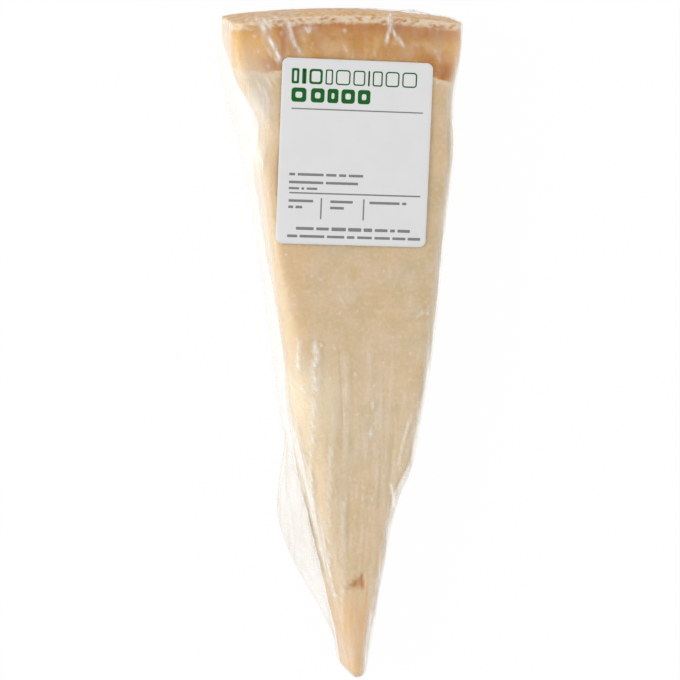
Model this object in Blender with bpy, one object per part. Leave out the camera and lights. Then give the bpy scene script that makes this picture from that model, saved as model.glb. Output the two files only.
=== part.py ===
"""A wedge of hard cheese sealed in clear film, with a paper label on its cut face.

Units are metres. +Z is up, +Y runs from the thin tip to the rind, +X is to the right of the label's reader.
The origin is on the table, under the middle of the pack's box.
"""

import math

import bmesh
import bpy

# The wedge: a sector cut from a wheel and laid on its lower cut face
PACK_HEIGHT = 0.0270
TIP_HEIGHT = 0.0215
RIND_Y = 0.1027
TIP_Y = -0.1056
RIND_SAG = 0.0026
RIND_HALF_WIDTH = 0.0355
RIND_LEAN = 0.0020
RIND_CURVE_FROM_Y = 0.050
TAPER_FROM_Y = -0.015

# Where the taut film's two sides change direction: distance along the pack, left side, right side
SIDE_STATIONS = [
    (-0.1120, 0.0030, 0.0052),
    (-0.0968, 0.0006, 0.0080),
    (-0.0720, -0.0050, 0.0120),
    (-0.0500, -0.0104, 0.0160),
    (-0.0370, -0.0136, 0.0209),
    (-0.0220, -0.0170, 0.0235),
    (0.0000, -0.0198, 0.0271),
    (0.0400, -0.0255, 0.0311),
    (0.0600, -0.0293, 0.0336),
    (0.0740, -0.0331, 0.0329),
    (0.0900, -0.0357, 0.0350),
    (0.1050, -0.0357, 0.0360),
]

# Edge radii across the pack, and at its two ends
BOTTOM_RADIUS = 0.0015
RIGHT_TOP_RADIUS = 0.0016
LEFT_TOP_RADIUS = 0.0078
LEFT_TOP_RADIUS_AT_LABEL = 0.0035
LEFT_TOP_SHARPENS_FROM_Y = 0.002
LEFT_TOP_SHARP_AT_Y = 0.028
RADIUS_SHARE_OF_WIDTH = 0.42
RIND_EDGE_RADIUS = 0.0012
TIP_EDGE_RADIUS = 0.0030

# The flat fin of gathered film that stands out on the left, near the tip
WING_WIDTH = 0.0094
WING_Z = 0.0080
WING_ROOT_THICKNESS = 0.0026
WING_EDGE_THICKNESS = 0.0007
WING_START_Y = -0.024
WING_WIDEST_Y = -0.058
WING_END_Y = -0.101

# The paper label
LABEL_WIDTH = 0.0467
LABEL_LENGTH = 0.0561
LABEL_THICKNESS = 0.00025
LABEL_CORNER_RADIUS = 0.0020
LABEL_X = 0.0016
LABEL_Y = 0.0584
LABEL_TURN = math.radians(-2.4)
FACE_GAP = 0.0003

# How finely the film is divided
STATION_STEP = 0.0042
BOTTOM_STEPS = 8
CORNER_STEPS = 3
SOFT_CORNER_STEPS = 6
FLANK_STEPS = 4
TOP_STEPS = 10
END_EDGE_STEPS = 3
END_FACE_SHARES = (0.75, 0.5, 0.25)


def clear_scene():
    """Removes every object that is already in the scene."""
    for item in list(bpy.data.objects):
        bpy.data.objects.remove(item, do_unlink=True)


def smooth_step(value, start, end):
    """Rises smoothly from 0 at start to 1 at end."""
    share = min(1.0, max(0.0, (value - start) / (end - start)))
    return share * share * (3.0 - 2.0 * share)


def side_at(y, column):
    """The film's left (column 1) or right (column 2) side at a distance along the pack."""
    last = len(SIDE_STATIONS) - 1
    index = 0
    while index < last - 1 and SIDE_STATIONS[index + 1][0] < y:
        index += 1
    rows = [SIDE_STATIONS[min(last, max(0, index + step))] for step in (-1, 0, 1, 2)]
    span = rows[2][0] - rows[1][0]
    share = min(1.0, max(0.0, (y - rows[1][0]) / span))
    slopes = []
    for before, after in ((rows[0], rows[2]), (rows[1], rows[3])):
        slopes.append((after[column] - before[column]) / (after[0] - before[0]) * span)
    square = share * share
    cube = square * share
    return (
        (2.0 * cube - 3.0 * square + 1.0) * rows[1][column]
        + (cube - 2.0 * square + share) * slopes[0]
        + (3.0 * square - 2.0 * cube) * rows[2][column]
        + (cube - square) * slopes[1]
    )


def height_at(y):
    """The pack's height: even under the label, lower where the film pulls in the tip."""
    return PACK_HEIGHT + (TIP_HEIGHT - PACK_HEIGHT) * smooth_step(y, TAPER_FROM_Y, TIP_Y)


def wing_at(y):
    """How far the film's fin stands out from the left side."""
    rise = smooth_step(y, WING_START_Y, WING_WIDEST_Y)
    fall = 1.0 - smooth_step(y, WING_WIDEST_Y, WING_END_Y)
    return WING_WIDTH * rise * fall


def arc(centre_x, centre_z, radius, start_degrees, steps):
    """A quarter circle across the pack, turning anticlockwise, as (x, z) points with both its ends."""
    points = []
    for step in range(steps + 1):
        angle = math.radians(start_degrees + 90.0 * step / steps)
        points.append((centre_x + radius * math.cos(angle), centre_z + radius * math.sin(angle)))
    return points


def between(start, end, steps):
    """The points that divide a straight run, without its two ends."""
    points = []
    for step in range(1, steps):
        share = step / steps
        points.append((start[0] + (end[0] - start[0]) * share, start[1] + (end[1] - start[1]) * share))
    return points


def left_top_radius_at(y):
    """The radius of the pack's softest edge, at the top left, which is sharper beside the label."""
    sharp_share = smooth_step(y, LEFT_TOP_SHARPENS_FROM_Y, LEFT_TOP_SHARP_AT_Y)
    return LEFT_TOP_RADIUS + (LEFT_TOP_RADIUS_AT_LABEL - LEFT_TOP_RADIUS) * sharp_share


def section(y):
    """The pack's outline across its length, anticlockwise from the bottom left, as (x, z) points."""
    left = side_at(y, 1)
    right = side_at(y, 2)
    height = height_at(y)
    widest_radius = (right - left) * RADIUS_SHARE_OF_WIDTH
    low = min(BOTTOM_RADIUS, widest_radius)
    sharp = min(RIGHT_TOP_RADIUS, widest_radius)
    soft = min(left_top_radius_at(y), widest_radius)

    low_right = arc(right - low, low, low, -90.0, CORNER_STEPS)
    top_right = arc(right - sharp, height - sharp, sharp, 0.0, CORNER_STEPS)
    top_left = arc(left + soft, height - soft, soft, 90.0, SOFT_CORNER_STEPS)
    low_left = arc(left + low, low, low, 180.0, CORNER_STEPS)

    wing = wing_at(y)
    root_top = (left, WING_Z + WING_ROOT_THICKNESS / 2.0)
    root_low = (left, WING_Z - WING_ROOT_THICKNESS / 2.0)
    wing_edge = [
        root_top,
        (left - wing, WING_Z + WING_EDGE_THICKNESS / 2.0),
        (left - wing, WING_Z - WING_EDGE_THICKNESS / 2.0),
        root_low,
    ]

    outline = between(low_left[-1], low_right[0], BOTTOM_STEPS)
    outline += low_right
    outline += between(low_right[-1], top_right[0], FLANK_STEPS)
    outline += top_right
    outline += between(top_right[-1], top_left[0], TOP_STEPS)
    outline += top_left
    outline += between(top_left[-1], root_top, FLANK_STEPS)
    outline += wing_edge
    outline += low_left
    return outline


def inset(outline, y, distance, share):
    """Draws an outline in by a distance on every side, then to a share of its size, about its middle."""
    half_width = (side_at(y, 2) - side_at(y, 1)) / 2.0
    half_height = height_at(y) / 2.0
    middle_x = (side_at(y, 2) + side_at(y, 1)) / 2.0
    scale_x = (1.0 - distance / half_width) * share
    scale_z = (1.0 - distance / half_height) * share
    return [(middle_x + (x - middle_x) * scale_x, half_height + (z - half_height) * scale_z) for x, z in outline]


def rind_offset(x, y, z):
    """How far the wheel's round, leaning side moves a point back along the pack."""
    round_side = RIND_SAG * (x / RIND_HALF_WIDTH) ** 2
    lean = RIND_LEAN * (z / PACK_HEIGHT) ** 1.5
    return (round_side + lean) * smooth_step(y, RIND_CURVE_FROM_Y, RIND_Y)


def end_rings(end_y, inward, radius):
    """The rings that round an end's edge and cross its face, from the outline inwards, as (y, outline) pairs."""
    outline = section(end_y + inward * radius)
    rings = []
    for step in range(1, END_EDGE_STEPS + 1):
        angle = math.radians(90.0 * step / END_EDGE_STEPS)
        y = end_y + inward * radius * (1.0 - math.sin(angle))
        rings.append((y, inset(outline, y, radius * (1.0 - math.cos(angle)), 1.0)))
    for share in END_FACE_SHARES:
        rings.append((end_y, inset(outline, end_y, radius, share)))
    return rings


def film_rings():
    """Every ring of the pack, from the middle of the tip to the middle of the rind."""
    tip_start = TIP_Y + TIP_EDGE_RADIUS
    rind_end = RIND_Y - RIND_EDGE_RADIUS
    steps = round((rind_end - tip_start) / STATION_STEP)
    rings = list(reversed(end_rings(TIP_Y, 1.0, TIP_EDGE_RADIUS)))
    for step in range(steps + 1):
        y = tip_start + (rind_end - tip_start) * step / steps
        rings.append((y, section(y)))
    rings += end_rings(RIND_Y, -1.0, RIND_EDGE_RADIUS)
    return rings


def close_end(mesh, ring, facing_rind):
    """Fills the innermost ring of an end with a fan about its middle."""
    middle = mesh.verts.new(sum((vertex.co for vertex in ring), start=ring[0].co * 0.0) / len(ring))
    for index, vertex in enumerate(ring):
        following = ring[(index + 1) % len(ring)]
        mesh.faces.new((middle, following, vertex) if facing_rind else (middle, vertex, following))


def build_film_pack():
    """Lofts the film's outer skin through its rings."""
    mesh = bmesh.new()
    loops = []
    for y, outline in film_rings():
        loops.append([mesh.verts.new((x, y - rind_offset(x, y, z), z)) for x, z in outline])
    for near, far in zip(loops, loops[1:]):
        for index in range(len(near)):
            following = (index + 1) % len(near)
            mesh.faces.new((near[index], near[following], far[following], far[index]))
    close_end(mesh, loops[0], facing_rind=False)
    close_end(mesh, loops[-1], facing_rind=True)
    bmesh.ops.recalc_face_normals(mesh, faces=mesh.faces[:])
    data = bpy.data.meshes.new("film_pack")
    mesh.to_mesh(data)
    mesh.free()
    data.shade_smooth()
    data.set_sharp_from_angle(angle=math.radians(35.0))
    return bpy.data.objects.new("film_pack", data)


def build_label():
    """Makes the label as a flat outline with round corners, given its paper's thickness."""
    data = bpy.data.curves.new("label", "CURVE")
    data.dimensions = "2D"
    data.fill_mode = "BOTH"
    data.extrude = LABEL_THICKNESS / 2.0
    half_x = LABEL_WIDTH / 2.0 - LABEL_CORNER_RADIUS
    half_y = LABEL_LENGTH / 2.0 - LABEL_CORNER_RADIUS
    points = []
    for side_x, side_y, start in ((1, -1, -90.0), (1, 1, 0.0), (-1, 1, 90.0), (-1, -1, 180.0)):
        points += arc(side_x * half_x, side_y * half_y, LABEL_CORNER_RADIUS, start, SOFT_CORNER_STEPS)
    spline = data.splines.new("POLY")
    spline.points.add(len(points) - 1)
    for point, (x, y) in zip(spline.points, points):
        point.co = (x, y, 0.0, 1.0)
    spline.use_cyclic_u = True
    label = bpy.data.objects.new("label", data)
    label.location = (LABEL_X, LABEL_Y, PACK_HEIGHT + FACE_GAP + LABEL_THICKNESS / 2.0)
    label.rotation_euler = (0.0, 0.0, LABEL_TURN)
    return label


def centre_on_table(film_pack, label):
    """Moves both pieces so that the origin is under the middle of the pack's box."""
    middle = []
    for axis in (0, 1):
        values = [vertex.co[axis] for vertex in film_pack.data.vertices]
        middle.append((min(values) + max(values)) / 2.0)
    for vertex in film_pack.data.vertices:
        vertex.co.x -= middle[0]
        vertex.co.y -= middle[1]
    label.location.x -= middle[0]
    label.location.y -= middle[1]


def finish_with(piece, name, colour, roughness):
    """Gives a piece its own plain material."""
    material = bpy.data.materials.new(name)
    material.use_nodes = True
    shader = material.node_tree.nodes["Principled BSDF"]
    shader.inputs["Base Color"].default_value = (*colour, 1.0)
    shader.inputs["Roughness"].default_value = roughness
    shader.inputs["Metallic"].default_value = 0.0
    piece.data.materials.append(material)


def main():
    """Builds the pack and its label in a collection of their own."""
    clear_scene()
    collection = bpy.data.collections.new("wrapped_cheese_wedge")
    bpy.context.scene.collection.children.link(collection)
    film_pack = build_film_pack()
    label = build_label()
    centre_on_table(film_pack, label)
    finish_with(film_pack, "cheese_under_film", (0.66, 0.50, 0.30), 0.30)
    finish_with(label, "label_paper", (0.72, 0.72, 0.72), 0.55)
    for piece in (film_pack, label):
        collection.objects.link(piece)


main()
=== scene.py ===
"""The looks of a wedge of hard cheese in clear film with a paper label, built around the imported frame.

Sizes are in millimetres unless a name says otherwise, and meshes are made in metres.
"""

import logging
import math
from dataclasses import dataclass, field
from enum import Enum
from typing import Sequence, Union

import bpy
import numpy as np
from mathutils import Matrix, Vector, noise


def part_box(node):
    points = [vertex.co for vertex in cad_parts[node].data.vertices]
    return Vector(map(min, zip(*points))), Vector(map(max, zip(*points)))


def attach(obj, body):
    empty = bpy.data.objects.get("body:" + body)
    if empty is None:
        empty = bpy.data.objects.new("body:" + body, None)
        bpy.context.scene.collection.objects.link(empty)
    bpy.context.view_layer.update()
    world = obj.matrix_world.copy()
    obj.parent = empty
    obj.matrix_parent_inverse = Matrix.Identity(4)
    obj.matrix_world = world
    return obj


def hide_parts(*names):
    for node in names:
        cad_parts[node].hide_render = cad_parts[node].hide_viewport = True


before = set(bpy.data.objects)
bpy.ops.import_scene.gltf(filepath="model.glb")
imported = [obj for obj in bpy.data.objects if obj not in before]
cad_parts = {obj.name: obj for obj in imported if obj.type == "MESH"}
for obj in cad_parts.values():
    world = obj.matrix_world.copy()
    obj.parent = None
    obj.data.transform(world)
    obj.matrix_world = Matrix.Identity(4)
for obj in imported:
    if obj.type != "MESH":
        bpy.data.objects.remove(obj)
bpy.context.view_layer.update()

MM = 0.001
BODY = "root"
PACK_NODE = "film_pack"
LABEL_NODE = "label"

Colour = tuple[float, float, float]
Operand = Union["Signal", float]

log = logging.getLogger("wedge")


# ---------------------------------------------------------------------------------------------
# Shader bench
# ---------------------------------------------------------------------------------------------


def from_srgb(red: int, green: int, blue: int) -> Colour:
    """Turns a colour written as 0 to 255 into the linear values that shaders use.

    Args:
        red, green, blue: the channels as they look on a screen.

    Returns:
        The linear colour.
    """
    channels = []
    for value in (red, green, blue):
        share = value / 255.0
        channels.append(share / 12.92 if share <= 0.04045 else ((share + 0.055) / 1.055) ** 2.4)
    return (channels[0], channels[1], channels[2])


class Signal:
    """A value that varies over a surface, with arithmetic that adds Math nodes."""

    def __init__(self, bench: "Bench", socket: bpy.types.NodeSocket) -> None:
        """Wraps an output socket of the bench's tree."""
        self.bench = bench
        self.socket = socket

    def combine(self, operation: str, first: Operand, second: Operand, clamp: bool = False) -> "Signal":
        """Adds a Math node.

        Args:
            operation: the node's operation.
            first: its first value.
            second: its second value.
            clamp: whether the result is kept between 0 and 1.

        Returns:
            The node's result.
        """
        settings = {"operation": operation, "use_clamp": clamp}
        node = self.bench.add("ShaderNodeMath", settings, {0: first, 1: second})
        return Signal(self.bench, node.outputs[0])

    def __add__(self, other: Operand) -> "Signal":
        """Adds a value."""
        return self.combine("ADD", self, other)

    def __radd__(self, other: Operand) -> "Signal":
        """Adds itself to a number."""
        return self.combine("ADD", other, self)

    def __sub__(self, other: Operand) -> "Signal":
        """Takes a value away."""
        return self.combine("SUBTRACT", self, other)

    def __rsub__(self, other: Operand) -> "Signal":
        """Takes itself away from a number."""
        return self.combine("SUBTRACT", other, self)

    def __mul__(self, other: Operand) -> "Signal":
        """Multiplies by a value."""
        return self.combine("MULTIPLY", self, other)

    def __rmul__(self, other: Operand) -> "Signal":
        """Multiplies a number by itself."""
        return self.combine("MULTIPLY", other, self)

    def __pow__(self, other: Operand) -> "Signal":
        """Raises itself to a power."""
        return self.combine("POWER", self, other)

    def larger(self, other: Operand) -> "Signal":
        """The larger of itself and a value."""
        return self.combine("MAXIMUM", self, other)

    def smaller(self, other: Operand) -> "Signal":
        """The smaller of itself and a value."""
        return self.combine("MINIMUM", self, other)

    def clamped(self) -> "Signal":
        """Itself, kept between 0 and 1."""
        return self.combine("ADD", self, 0.0, clamp=True)

    def step(self, start: float, end: float) -> "Signal":
        """Rises smoothly from 0 at start to 1 at end, or falls where end is the lower.

        Args:
            start: the value at which the result is 0.
            end: the value at which the result is 1.

        Returns:
            The eased share.
        """
        low, high = min(start, end), max(start, end)
        inputs = {"Value": self, "From Min": low, "From Max": high}
        inputs |= {"To Min": float(start > end), "To Max": float(start < end)}
        settings = {"interpolation_type": "SMOOTHSTEP"}
        return Signal(self.bench, self.bench.add("ShaderNodeMapRange", settings, inputs).outputs[0])


class Bench:
    """A material's node tree, and the one way in which nodes are added to it."""

    def __init__(self, name: str) -> None:
        """Starts an empty material.

        Args:
            name: the material's name.
        """
        self.material = bpy.data.materials.new(name)
        self.material.use_nodes = True
        self.tree = self.material.node_tree
        self.tree.nodes.clear()

    def add(self, kind: str, settings: dict | None = None, inputs: dict | None = None) -> bpy.types.Node:
        """Adds a node.

        Args:
            kind: the node's type.
            settings: attributes of the node, set first.
            inputs: what goes into its sockets, by name or place: a Signal, a socket or a value.

        Returns:
            The node.
        """
        node = self.tree.nodes.new(kind)
        for name, value in (settings or {}).items():
            setattr(node, name, value)
        for name, value in (inputs or {}).items():
            source = value.socket if isinstance(value, Signal) else value
            if isinstance(source, bpy.types.NodeSocket):
                self.tree.links.new(source, node.inputs[name])
            else:
                node.inputs[name].default_value = source
        return node

    def millimetres(self) -> bpy.types.NodeSocket:
        """The place on the piece in the row frame, in millimetres."""
        place = self.add("ShaderNodeTexCoord").outputs["Object"]
        inputs = {0: place, "Scale": 1.0 / MM}
        return self.add("ShaderNodeVectorMath", {"operation": "SCALE"}, inputs).outputs[0]

    def stretched(self, vector: bpy.types.NodeSocket, factors: tuple) -> bpy.types.NodeSocket:
        """A vector multiplied along each axis."""
        return self.add("ShaderNodeVectorMath", {"operation": "MULTIPLY"}, {0: vector, 1: factors}).outputs[0]

    def axes(self, vector: bpy.types.NodeSocket) -> list[Signal]:
        """The three parts of a vector."""
        node = self.add("ShaderNodeSeparateXYZ", None, {0: vector})
        return [Signal(self, socket) for socket in node.outputs]

    def noise(self, vector: bpy.types.NodeSocket, per_mm: float, detail: float = 3.0) -> Signal:
        """Smooth noise between 0 and 1.

        Args:
            vector: the place, in millimetres.
            per_mm: how many features there are in a millimetre.
            detail: how many finer octaves are added.

        Returns:
            The noise's value.
        """
        inputs = {"Vector": vector, "Scale": per_mm, "Detail": detail, "Roughness": 0.55}
        return Signal(self, self.add("ShaderNodeTexNoise", None, inputs).outputs[0])

    def cells(self, vector: bpy.types.NodeSocket, per_mm: float) -> tuple[Signal, Signal]:
        """Scattered cells.

        Args:
            vector: the place, in millimetres.
            per_mm: how many cells there are in a millimetre.

        Returns:
            The distance to the nearest cell's middle, and a random value for each cell.
        """
        node = self.add("ShaderNodeTexVoronoi", None, {"Vector": vector, "Scale": per_mm})
        tone = self.axes(node.outputs["Color"])[0]
        return Signal(self, node.outputs["Distance"]), tone

    def attribute(self, name: str) -> Signal:
        """A value that the mesh carries at its points."""
        return Signal(self, self.add("ShaderNodeAttribute", {"attribute_name": name}).outputs["Fac"])

    def mix(self, share: Operand, first: object, second: object) -> bpy.types.NodeSocket:
        """Mixes two colours.

        Args:
            share: how much of the second colour shows.
            first: a colour or a colour socket.
            second: a colour or a colour socket.

        Returns:
            The mixed colour.
        """
        inputs = {0: share}
        for place, colour in ((6, first), (7, second)):
            inputs[place] = (*colour, 1.0) if isinstance(colour, tuple) else colour
        return self.add("ShaderNodeMix", {"data_type": "RGBA"}, inputs).outputs[2]

    def bump(self, height: Signal, depth: float, strength: float = 1.0) -> bpy.types.NodeSocket:
        """A normal from a height.

        Args:
            height: the height, 0 to 1.
            depth: the height's full size, in millimetres.
            strength: how strongly it tilts the surface.

        Returns:
            The normal.
        """
        inputs = {"Height": height, "Distance": depth * MM, "Strength": strength}
        return self.add("ShaderNodeBump", None, inputs).outputs[0]

    def skin(self, inputs: dict) -> bpy.types.NodeSocket:
        """A Principled shader's surface."""
        return self.add("ShaderNodeBsdfPrincipled", None, inputs).outputs[0]

    def finish(self, surface: bpy.types.NodeSocket) -> bpy.types.Material:
        """Shows a surface and hands over the material."""
        self.add("ShaderNodeOutputMaterial", None, {"Surface": surface})
        return self.material


# ---------------------------------------------------------------------------------------------
# Finishes
# ---------------------------------------------------------------------------------------------


@dataclass(frozen=True)
class CheeseFinish:
    """Hard, grainy paste that darkens to amber under a tan rind."""

    paste: Colour = from_srgb(216, 192, 160)
    paste_shade: Colour = from_srgb(206, 183, 143)
    paste_warm: Colour = from_srgb(223, 187, 138)
    cream_and_highlight: Colour = from_srgb(246, 230, 199)
    grit: Colour = from_srgb(190, 160, 118)
    band: Colour = from_srgb(199, 145, 76)
    band_deep: Colour = from_srgb(180, 106, 30)
    band_pale: Colour = from_srgb(211, 168, 108)
    band_ends: Colour = from_srgb(229, 181, 102)
    rind: Colour = from_srgb(203, 154, 88)
    rind_dot: Colour = from_srgb(146, 92, 36)
    crumb: Colour = from_srgb(232, 216, 190)
    crack: Colour = from_srgb(186, 126, 48)
    tip: Colour = from_srgb(222, 180, 124)
    crystal: Colour = from_srgb(236, 224, 202)

    def make(self) -> bpy.types.Material:
        """Builds the material.

        Returns:
            The material, which reads the mesh's rind_depth, stain, warm, pale, crack and pin_dot.
        """
        bench = Bench("cheese")
        place = bench.millimetres()
        across, along = bench.axes(place)[:2]
        depth = bench.attribute("rind_depth")
        colour = self.paste_colours(bench, place, across, along)
        colour = self.banded(bench, place, across, depth, colour)
        # Cream from the pale value: paler paste in places, and a painted highlight on the cheese's left and
        # right flanks.
        colour = bench.mix(bench.attribute("pale"), colour, self.cream_and_highlight)
        gritty = bench.noise(place, 1.5, 3.0).step(0.50, 0.70)
        colour = bench.mix(gritty * 0.28, colour, self.grit)
        colour = bench.mix(bench.attribute("crack"), colour, self.crack)
        colour = self.rinded(bench, place, depth, colour)
        grain = bench.noise(place, 1.3, 4.0) * 0.6 + bench.noise(place, 4.0, 3.0) * 0.4
        roughness = bench.noise(place, 0.35) * 0.2 + 0.42
        inputs = {
            "Base Color": colour,
            "Roughness": roughness,
            "Normal": bench.bump(grain, 0.22, 0.7),
            "Subsurface Weight": 0.12,
            "Subsurface Scale": 0.0015,
            "Subsurface Radius": (1.0, 0.6, 0.3),
            "Specular IOR Level": 0.35,
        }
        return bench.finish(bench.skin(inputs))

    def paste_colours(
        self, bench: Bench, place: bpy.types.NodeSocket, across: Signal, along: Signal
    ) -> bpy.types.NodeSocket:
        """The paste: soft clouds, drag marks from the knife, crystals, a warm left side and a yellow tip."""
        clouds = bench.noise(place, 0.14, 5.0).step(0.36, 0.64)
        colour = bench.mix(clouds, self.paste, self.paste_shade)
        warm = bench.noise(bench.stretched(place, (0.035, 0.02, 0.035)), 1.0, 2.0).step(0.45, 0.65)
        colour = bench.mix(warm * 0.35, colour, self.paste_warm)
        left = (across + along * -0.12).step(-9.0, -20.0) * 0.75
        colour = bench.mix(left.larger(bench.attribute("warm")) * 0.8, colour, self.paste_warm)
        mottle = bench.noise(place, 0.75, 5.0).step(0.48, 0.70)
        colour = bench.mix(mottle * 0.42, colour, self.crumb)
        drag = bench.noise(bench.stretched(place, (0.06, 0.7, 0.06)), 1.0, 3.0).step(0.50, 0.74)
        colour = bench.mix(drag * 0.28, colour, self.paste_shade)
        near, tone = bench.cells(place, 0.36)
        crystals = near.step(0.22, 0.10) * tone.step(0.70, 0.86)
        colour = bench.mix(crystals * 0.5, colour, self.crystal)
        return bench.mix(along.step(-66.0, -86.0) * 0.85, colour, self.tip)

    def banded(
        self,
        bench: Bench,
        place: bpy.types.NodeSocket,
        across: Signal,
        depth: Signal,
        colour: bpy.types.NodeSocket,
    ) -> bpy.types.NodeSocket:
        """The amber band under the rind, paler at its left end, with its ragged inner edge."""
        ragged = depth + across * -0.04 + (bench.noise(place, 0.25, 4.0) - 0.5) * 5.0
        mottled = bench.noise(place, 0.16, 4.0)
        band = bench.mix(mottled.step(0.42, 0.62), self.band, self.band_pale)
        ends = across.step(-17.0, -28.0).larger(across.step(27.0, 34.0) * 0.8)
        band = bench.mix(ends * 0.85, band, self.band_ends)
        band = bench.mix(ragged.step(8.0, 1.5) * 0.5, band, self.band_deep)
        band = bench.mix(bench.attribute("stain"), band, self.band_deep)
        paler = ragged.step(19.8, 17.2) * ragged.step(16.0, 17.2)
        colour = bench.mix(paler * 0.6, colour, self.crumb)
        return bench.mix(ragged.step(17.4, 16.4), colour, band)

    def rinded(
        self, bench: Bench, place: bpy.types.NodeSocket, depth: Signal, colour: bpy.types.NodeSocket
    ) -> bpy.types.NodeSocket:
        """The rind: tan and leathery, with pricked dots, and pale crumbs where it was cut through."""
        leather = bench.noise(place, 0.5, 4.0)
        skin = bench.mix(leather.step(0.38, 0.66) * 0.5, self.rind, self.crumb)
        skin = bench.mix(bench.attribute("pin_dot"), skin, self.rind_dot)
        crumbs = bench.noise(bench.stretched(place, (0.35, 0.6, 0.35)), 1.0, 5.0)
        edge = depth + (bench.noise(place, 0.45, 3.0) - 0.5) * 2.4
        pale = crumbs.step(0.36, 0.56) * edge.step(3.4, 2.0) * depth.step(0.1, 0.9)
        colour = bench.mix(depth.step(1.1, 0.5), colour, skin)
        return bench.mix(pale * 0.85, colour, self.crumb)


@dataclass(frozen=True)
class FilmFinish:
    """Thin clear film: nearly unseen where it lies flat, milky and bright where it is gathered."""

    colour: Colour = from_srgb(247, 243, 234)
    clear_cover: float = 0.02
    veil_cover: float = 0.09
    crease_cover: float = 0.85
    rim_cover: float = 0.80
    roughness: float = 0.18

    def make(self) -> bpy.types.Material:
        """Builds the material.

        Returns:
            The film's material, which reads the mesh's crease, veil and sheen values; the veil value holds
            painted highlight too.
        """
        bench = Bench("clear_film")
        place = bench.millimetres()
        along = bench.axes(place)[1]
        rim = Signal(bench, bench.add("ShaderNodeLayerWeight", None, {"Blend": 0.5}).outputs["Facing"])
        patches = bench.noise(place, 0.10, 4.0).step(0.44, 0.66)
        threads = bench.noise(bench.stretched(place, (0.55, 0.03, 0.55)), 1.0, 3.0).step(0.44, 0.70)
        streaky = threads * along.step(8.0, -24.0)
        cover = patches * self.veil_cover + streaky * (self.veil_cover * 1.6) + self.clear_cover
        # The veil value: milky film on the fin and in the hollows, and a painted highlight on the left flank
        # and the right edge.
        veil_and_highlight = bench.attribute("veil_and_highlight") * (threads * 0.5 + 0.75)
        # Folds and glints turn white through the crease value: partly the film's milk where gathered, partly
        # painted highlight.
        cover = cover + bench.attribute("crease") * self.crease_cover + veil_and_highlight
        sheen = bench.attribute("sheen") * self.rim_cover
        cover = (cover + rim * rim * sheen).clamped()
        crinkle = bench.noise(bench.stretched(place, (0.8, 0.25, 0.8)), 1.0, 3.0)
        inputs = {
            "Base Color": (*self.colour, 1.0),
            "Roughness": self.roughness,
            "Metallic": 0.0,
            "Specular IOR Level": 0.6,
            "Normal": bench.bump(crinkle, 0.35, 0.6),
        }
        inputs |= {"Coat Weight": 0.6, "Coat Roughness": 0.06}
        clear = bench.add("ShaderNodeBsdfTransparent").outputs[0]
        surface = bench.add("ShaderNodeMixShader", None, {0: cover, 1: clear, 2: bench.skin(inputs)})
        return bench.finish(surface.outputs[0])


@dataclass(frozen=True)
class PaperFinish:
    """Smooth white coated paper."""

    white: Colour = from_srgb(215, 215, 215)
    shade: Colour = from_srgb(211, 211, 211)

    def make(self) -> bpy.types.Material:
        """Builds the material.

        Returns:
            The paper's material.
        """
        bench = Bench("label_paper")
        place = bench.millimetres()
        cloud = bench.noise(place, 0.12, 3.0).step(0.4, 0.6)
        fibre = bench.noise(bench.stretched(place, (2.0, 6.0, 2.0)), 1.0, 2.0)
        inputs = {
            "Base Color": bench.mix(cloud * 0.4, self.white, self.shade),
            "Roughness": fibre * 0.1 + 0.5,
            "Normal": bench.bump(fibre, 0.02, 0.3),
        }
        return bench.finish(bench.skin(inputs))


@dataclass(frozen=True)
class InkFinish:
    """A flat printing ink that lets a little of the paper's unevenness through."""

    name: str
    ink: Colour
    worn: Colour

    def make(self) -> bpy.types.Material:
        """Builds the material.

        Returns:
            The ink's material.
        """
        bench = Bench(self.name)
        place = bench.millimetres()
        speckle = bench.noise(place, 3.5, 2.0).step(0.45, 0.75)
        inputs = {
            "Base Color": bench.mix(speckle * 0.5, self.ink, self.worn),
            "Roughness": speckle * 0.1 + 0.45,
            "Specular IOR Level": 0.25,
        }
        return bench.finish(bench.skin(inputs))


# ---------------------------------------------------------------------------------------------
# Form
# ---------------------------------------------------------------------------------------------


def eased(value: np.ndarray | float, start: float, end: float) -> np.ndarray:
    """Rises smoothly from 0 at start to 1 at end.

    Args:
        value: where the share is wanted.
        start: the value at which it is 0.
        end: the value at which it is 1.

    Returns:
        The eased share.
    """
    share = np.clip((value - start) / (end - start), 0.0, 1.0)
    return share * share * (3.0 - 2.0 * share)


def followed(stations: Sequence[tuple], along: np.ndarray, column: int) -> np.ndarray:
    """Reads a column of stations at distances between them, by a smooth curve through them all.

    Args:
        stations: rows that start with a distance along the pack.
        along: where the value is wanted.
        column: the column that is read.

    Returns:
        The column's value at each distance.
    """
    table = np.array(stations)
    last = len(table) - 1
    index = np.clip(np.searchsorted(table[:, 0], along, side="left") - 1, 0, last - 1)
    before, after = table[np.clip(index - 1, 0, last)], table[np.clip(index + 2, 0, last)]
    start, end = table[index], table[index + 1]
    span = end[..., 0] - start[..., 0]
    share = np.clip((along - start[..., 0]) / span, 0.0, 1.0)
    first = (end[..., column] - before[..., column]) / (end[..., 0] - before[..., 0])
    second = (after[..., column] - start[..., column]) / (after[..., 0] - start[..., 0])
    square, cube = share**2, share**3
    return (
        (2.0 * cube - 3.0 * square + 1.0) * start[..., column]
        + (cube - 2.0 * square + share) * first * span
        + (3.0 * square - 2.0 * cube) * end[..., column]
        + (cube - square) * second * span
    )


def swell(value: np.ndarray, middle: float, reach: float) -> np.ndarray:
    """A bell curve of height 1 at the middle, most of which lies within the reach."""
    return np.exp(-(((value - middle) / reach) ** 2))


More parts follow.
